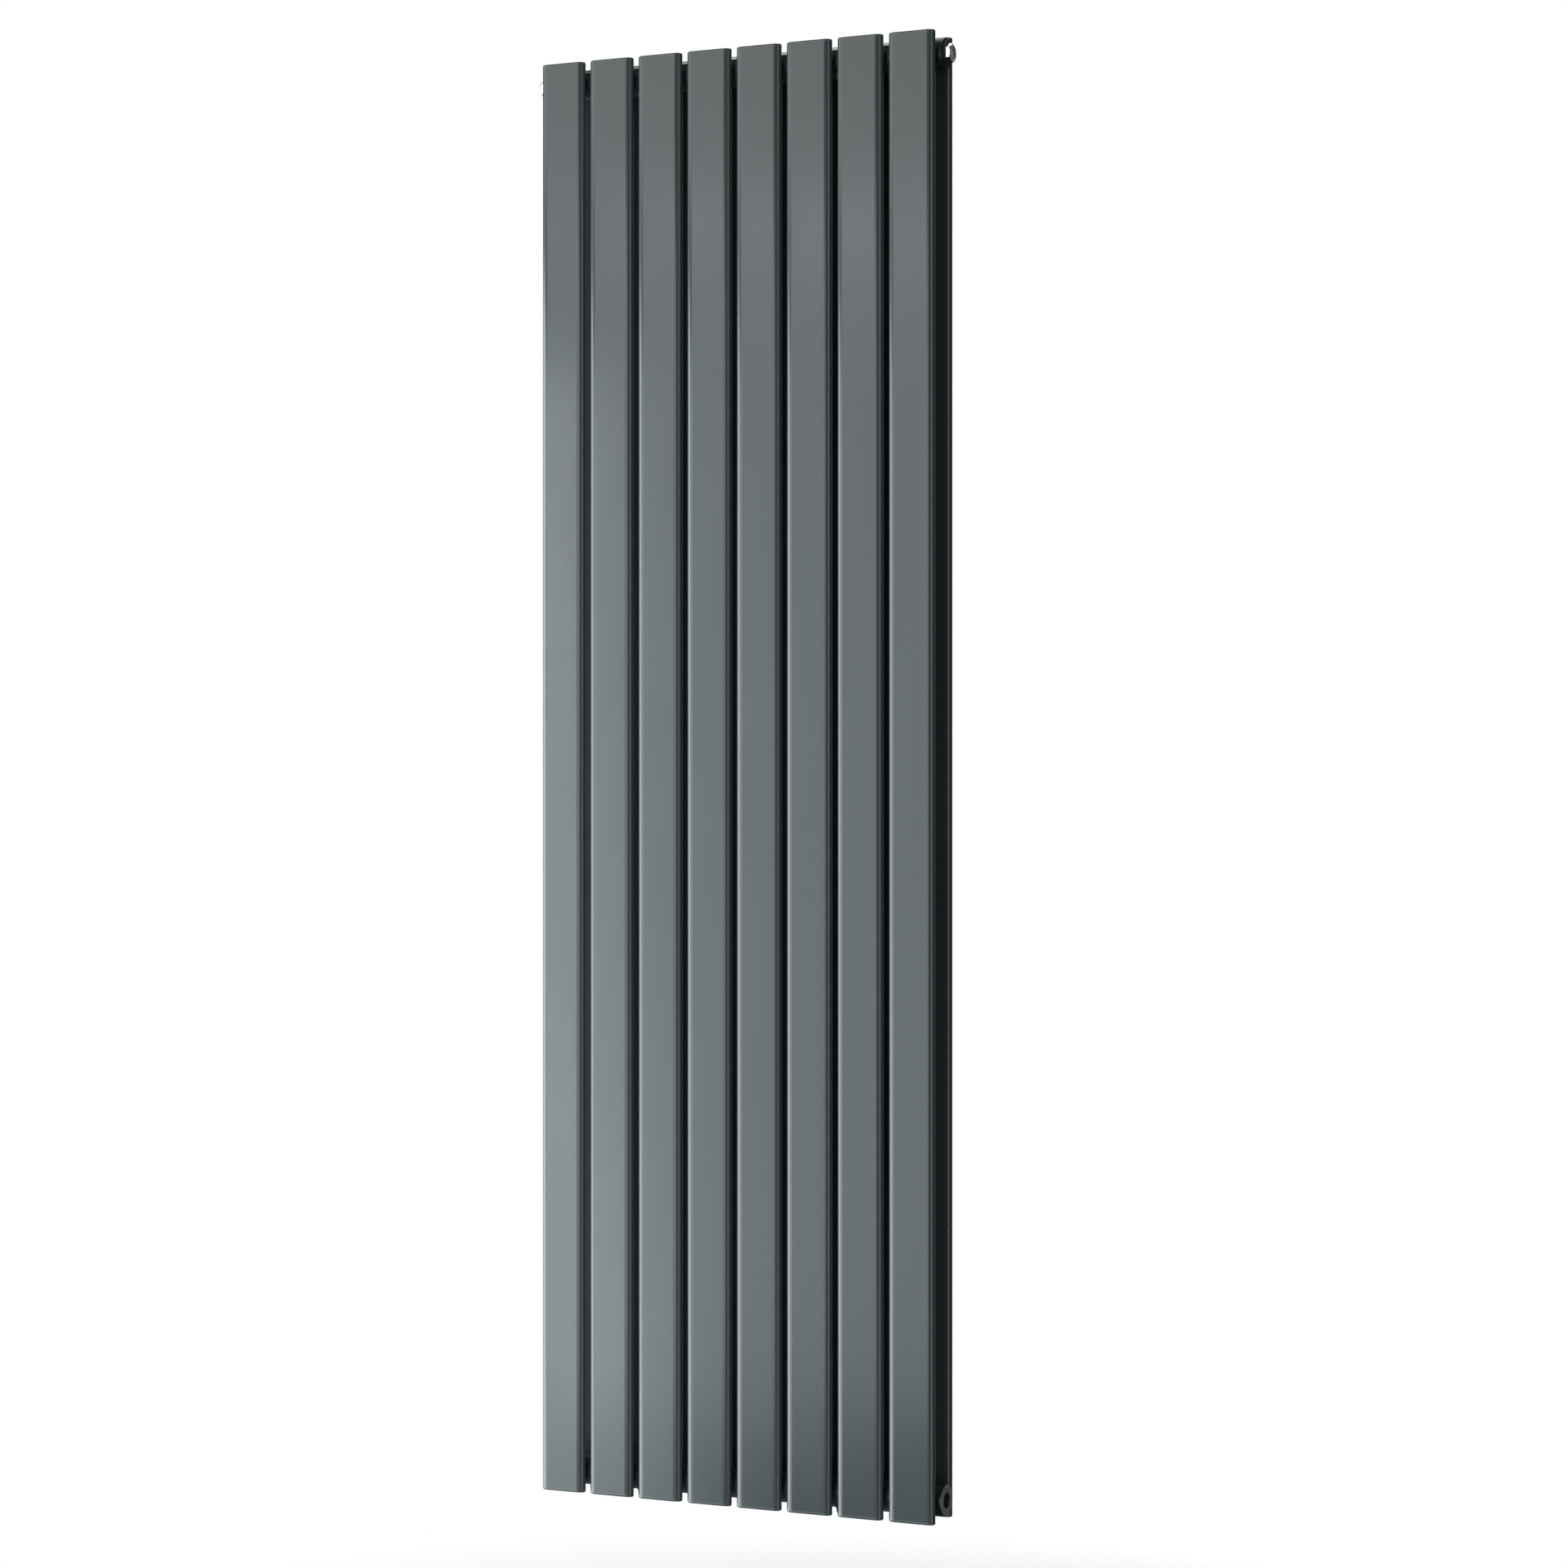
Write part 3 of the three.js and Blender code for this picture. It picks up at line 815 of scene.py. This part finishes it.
PLATE_THICKNESS = 4 * MM
PLATE_CORNER = 5 * MM
ARM_THICKNESS = 4 * MM
LINER_INNER = HEADER_RADIUS + 0.3 * MM
LINER_OUTER = LINER_INNER + 2 * MM
CRADLE_RADIUS = LINER_OUTER + 0.3 * MM
CRADLE_HALF_ANGLE = math.radians(48)
LINER_HALF_ANGLE = CRADLE_HALF_ANGLE * 0.94  # ends just short of the cradle's tips
LINER_CHEEK = 1.5 * MM
SLOT_OFFSET = 14 * MM  # from the plate's middle to each slot
ARM_OVERLAP = 1 * MM  # how deep the arm goes into the plate
bracket_low, bracket_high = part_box("bracket_top_right")
BRACKET_X = (bracket_low.x + bracket_high.x) / 2


def arc(centre, radius, start, end, steps):
    """Points on an arc in a plane, ends included."""
    angles = [start + (end - start) * i / steps for i in range(steps + 1)]
    return [(centre[0] + radius * math.cos(a), centre[1] + radius * math.sin(a)) for a in angles]


def extruded(outline, thickness, to_row):
    """A flat outline given a thickness, its (u, v, w) points moved to the row frame by to_row."""
    rings = [[to_row(u, v, w) for u, v in outline] for w in (-thickness / 2, thickness / 2)]
    return loft(rings, cap_start=True, cap_end=True)


def along_wall(x, z):
    """Moves (right, up, out of the wall) points of a plate to the row frame."""
    return lambda u, v, w: Vector((x + u, w - PLATE_THICKNESS / 2, z + v))


def out_from_wall(x, z):
    """Moves (distance from the wall, up, across) points of an arm or a liner to the row frame."""
    return lambda u, v, w: Vector((x + w, -u, z + v))


def arm_outline(inset_from_wall):
    """The gusset arm with its cradle, as (distance from the wall, height over the header axis)."""
    low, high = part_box("bracket_top_left")
    half_height = (high.z - low.z) / 2
    bottom = -half_height
    centre = -HEADER_Y
    reach = CRADLE_RADIUS * math.sin(CRADLE_HALF_ANGLE)
    top = -CRADLE_RADIUS * math.cos(CRADLE_HALF_ANGLE)
    front = centre + reach + 2 * MM
    nose = 6 * MM
    rear_row_front = -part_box("rear_panel_1")[0].y
    points = [(inset_from_wall, bottom)]
    points += arc((front - nose, bottom + nose), nose, -math.pi / 2, 0, 8)
    points += [(front, top)]
    points += arc((centre, 0), CRADLE_RADIUS, -math.pi / 2 + CRADLE_HALF_ANGLE,
                  -math.pi / 2 - CRADLE_HALF_ANGLE, 28)
    points += [(rear_row_front, top), (inset_from_wall, half_height / 2)]
    return points


def wall_plate(x, z, half_width, half_height):
    """The wall plate with its round corners, before the slots are cut."""
    outline = []
    for sx, sz, start in ((1, -1, -90), (1, 1, 0), (-1, 1, 90), (-1, -1, 180)):
        centre = (sx * (half_width - PLATE_CORNER), sz * (half_height - PLATE_CORNER))
        outline += arc(centre, PLATE_CORNER, math.radians(start), math.radians(start + 90), 8)
    return extruded(outline, PLATE_THICKNESS, along_wall(x, z))


def slot_cutter(x, z):
    """A round-ended slot through the wall plate."""
    radius, length = 3.5 * MM, 11 * MM
    reach = length / 2 - radius
    outline = arc((reach, 0), radius, -math.pi / 2, math.pi / 2, 12)
    outline += arc((-reach, 0), radius, math.pi / 2, 3 * math.pi / 2, 12)
    depth = 4 * PLATE_THICKNESS
    return extruded(outline, depth, along_wall(x, z))


def make_bracket(level, end):
    """A wall bracket: slotted plate, welded gusset arm and cradle, with a fillet weld down the arm."""
    node = f"bracket_{level}_{end}"
    low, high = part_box(node)
    x = ENDS[end] * BRACKET_X
    z = LEVELS[level] * HEADER_Z
    half_height = (high.z - low.z) / 2
    plate = wall_plate(x, z, (high.x - low.x) / 2, half_height)
    piece = add_piece(f"wall_{node}", *plate, BRACKET_PAINT, BRACKETS, "bracket_paint", [node])
    outline = arm_outline(PLATE_THICKNESS - ARM_OVERLAP)
    arm = extruded(outline, ARM_THICKNESS, out_from_wall(x, z))
    tools = [("UNION", make_object("arm_tool", arm))]
    for side in (-1, 1):
        slot = slot_cutter(x + side * SLOT_OFFSET, z)
        tools.append(("DIFFERENCE", make_object("slot_tool", slot)))
    for _, tool in tools:
        face_outward(tool.data)
    combine(piece, tools)
    shade(piece, 35)
    soften(piece, 0.4 * MM)
    add_arm_welds(level, end, x, z, half_height)


def add_arm_welds(level, end, x, z, half_height):
    """Two rippled fillet welds where the arm stands on the plate."""
    beads = []
    start, stop = -half_height + 4 * MM, half_height / 2 - 4 * MM
    steps = 60
    for side in (-1, 1):
        rings = []
        for i in range(steps + 1):
            t = i / steps
            height = z + start + (stop - start) * t
            taper = min(1.0, 8 * t, 8 * (1 - t)) ** 0.5
            phase = (t * 16) % 1.0
            wobble = noise.noise(Vector((40 * t, side * 3 + x * 9, z * 5)))
            size = 1.9 * MM * max(0.15, taper) * (1 + 0.14 * (0.5 - phase) + 0.12 * wobble)
            centre = Vector((x + side * (ARM_THICKNESS / 2), -PLATE_THICKNESS, height))
            ring = []
            for k in range(8):
                angle = TAU * k / 8
                ring.append(centre + Vector((size * math.cos(angle), size * math.sin(angle), 0)))
            rings.append(ring)
        beads.append(loft(rings, cap_start=True, cap_end=True))
    add_piece(f"bracket_welds_{level}_{end}", *joined(*beads), BRACKET_PAINT, BRACKETS,
              "bracket_paint", sharp=70)


def saddle(inner, outer, half_angle, width, x, z):
    """Part of a ring under the header, as wide along X as given."""
    start, end = -math.pi / 2 - half_angle, -math.pi / 2 + half_angle
    centre = (-HEADER_Y, 0)
    outline = arc(centre, outer, start, end, 32) + arc(centre, inner, end, start, 32)
    return extruded(outline, width, out_from_wall(x, z))


def make_liner(level, end):
    """The nylon liner in a bracket's cradle, with a cheek on either side of the arm."""
    node = f"liner_{level}_{end}"
    low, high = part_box(node)
    x = (low.x + high.x) / 2
    z = LEVELS[level] * HEADER_Z
    width = high.x - low.x
    cup = saddle(LINER_INNER, LINER_OUTER, LINER_HALF_ANGLE, width, x, z)
    piece = add_piece(f"cradle_{node}", *cup, BLACK_NYLON, BRACKETS, "black_nylon", [node])
    tools = []
    for side in (-1, 1):
        cheek = saddle(LINER_OUTER - 1 * MM, LINER_OUTER + 2.4 * MM, LINER_HALF_ANGLE, LINER_CHEEK,
                       x + side * (width - LINER_CHEEK) / 2, z)
        tools.append(("UNION", make_object("cheek_tool", cheek)))
    for _, tool in tools:
        face_outward(tool.data)
    combine(piece, tools)
    shade(piece, 35)
    soften(piece, 0.25 * MM)


# ------------------------------------------------------------------ studio


def area_light(name, colour, azimuth, elevation, distance, width, height, power):
    """A softbox aimed at the radiator; azimuth 0 is straight in front, positive to the right."""
    light = bpy.data.lights.new(name, "AREA")
    light.shape = "RECTANGLE"
    light.size = width
    light.size_y = height
    light.energy = power
    light.color = colour
    lamp = bpy.data.objects.new(name, light)
    bpy.context.scene.collection.objects.link(lamp)
    a, e = math.radians(azimuth), math.radians(elevation)
    away = Vector((math.sin(a) * math.cos(e), -math.cos(a) * math.cos(e), math.sin(e)))
    lamp.location = away * distance
    lamp.rotation_euler = away.to_track_quat("Z", "Y").to_euler()
    lamp.visible_camera = False


def make_camera():
    """A long lens, level, from the right, at half the radiator's height."""
    yaw = math.radians(24.87)
    distance = 4.429
    aim = Vector((0.0706, FRONT_FACE_Y, 0))
    data = bpy.data.cameras.new("camera")
    data.sensor_width = 36
    data.lens = 83.05
    data.shift_y = -0.00434
    camera = bpy.data.objects.new("camera", data)
    bpy.context.scene.collection.objects.link(camera)
    camera.location = aim + distance * Vector((math.sin(yaw), -math.cos(yaw), 0))
    camera.rotation_euler = (math.pi / 2, 0, yaw)
    bpy.context.scene.camera = camera


def make_world():
    """White to the camera, and a dim even room to everything else."""
    world = bpy.data.worlds.new("studio")
    world.use_nodes = True
    bpy.context.scene.world = world
    tree = world.node_tree
    tree.nodes.clear()
    path = tree.nodes.new("ShaderNodeLightPath")
    room = tree.nodes.new("ShaderNodeBackground")
    room.inputs["Color"].default_value = (0.9, 0.95, 1.0, 1)
    room.inputs["Strength"].default_value = 0.06
    white = tree.nodes.new("ShaderNodeBackground")
    white.inputs["Color"].default_value = (1, 1, 1, 1)
    white.inputs["Strength"].default_value = 1.0
    mix = tree.nodes.new("ShaderNodeMixShader")
    out = tree.nodes.new("ShaderNodeOutputWorld")
    tree.links.new(path.outputs["Is Camera Ray"], mix.inputs["Fac"])
    tree.links.new(room.outputs[0], mix.inputs[1])
    tree.links.new(white.outputs[0], mix.inputs[2])
    tree.links.new(mix.outputs[0], out.inputs["Surface"])


def make_floor():
    """A round pale floor well below the radiator that fades out towards its rim.

    Glossy rays don't see it, and it doesn't block the lamps, some of which reach below it.
    """
    drop = 0.35
    radius = 1.5
    mesh = bpy.data.meshes.new("floor")
    points, faces = turned([(radius, 0)], 96, cap_start=True)
    mesh.from_pydata([tuple(p) for p in points], [], faces)
    floor = bpy.data.objects.new("floor", mesh)
    floor.location = (0, 0, PANEL_LOW.z - drop)
    bpy.context.scene.collection.objects.link(floor)
    look = Nodes("pale_floor", Base_Color=(0.86, 0.86, 0.86, 1), Roughness=0.7)
    out = look.tree.nodes["Material Output"]
    clear = look.add("ShaderNodeBsdfTransparent")
    mix = look.add("ShaderNodeMixShader")
    length = look.add("ShaderNodeVectorMath", operation="LENGTH")
    look.link(look.place, length.inputs[0])
    fade = look.ranged(length.outputs["Value"], 0.0, 1.0, radius * 0.45, radius * 0.95)
    look.link(fade, mix.inputs["Fac"])
    look.link(look.shader.outputs[0], mix.inputs[1])
    look.link(clear.outputs[0], mix.inputs[2])
    look.link(mix.outputs[0], out.inputs["Surface"])
    mesh.materials.append(look.material)
    floor.visible_glossy = False
    floor.visible_shadow = False


def make_lights():
    """Seven softboxes: three from the left and one above them, a strip at the right, and two behind.

    Each is (name, colour, azimuth and elevation in degrees, distance, width, height, watts).
    """
    cool = (0.90, 0.96, 1.0)
    plain = (1.0, 0.99, 0.97)
    area_light("wall_left", cool, -75, -9, 2.8, 2.2, 3.4, 158)
    area_light("mid_left", cool, -42.6, -9.5, 2.5, 1.1, 3.0, 38)
    area_light("front_soft", cool, -14, -1.5, 3.8, 3.0, 4.0, 90)
    area_light("top_left", plain, -48, 37.5, 4.2, 5.2, 1.9, 63)
    area_light("strip_right", plain, 50, 0, 6.0, 1.2, 7.6, 88)
    area_light("behind", plain, 184, 4, 2.6, 1.7, 3.6, 12)
    area_light("overhead", plain, 170, 68, 2.6, 2.6, 1.4, 28)


# ------------------------------------------------------------------ build


def dress_cad_nodes():
    """The CAD nodes that stay as they are, out of sight inside the radiator."""
    for node, material in (("flow_baffle", BARE_STEEL), ("bleed_seat_pad", RUBBER)):
        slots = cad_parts[node].material_slots
        slots[0].material = material


make_columns()
for level_name in LEVELS:
    make_header_tube(level_name)
    make_header_collars(level_name)
    make_header_welds(level_name)
    for end_name in ENDS:
        make_boss(level_name, end_name)
        make_bracket(level_name, end_name)
        make_liner(level_name, end_name)
make_plug()
make_washer("plug_washer_rubber", "blanking_plug_washer", "right")
make_vent_body()
make_washer("vent_washer_rubber", "vent_washer", "left")
make_vent_outlet()
make_bleed_screw()
dress_cad_nodes()
make_camera()
make_world()
make_floor()
make_lights()
bpy.context.scene.view_settings.view_transform = "Standard"
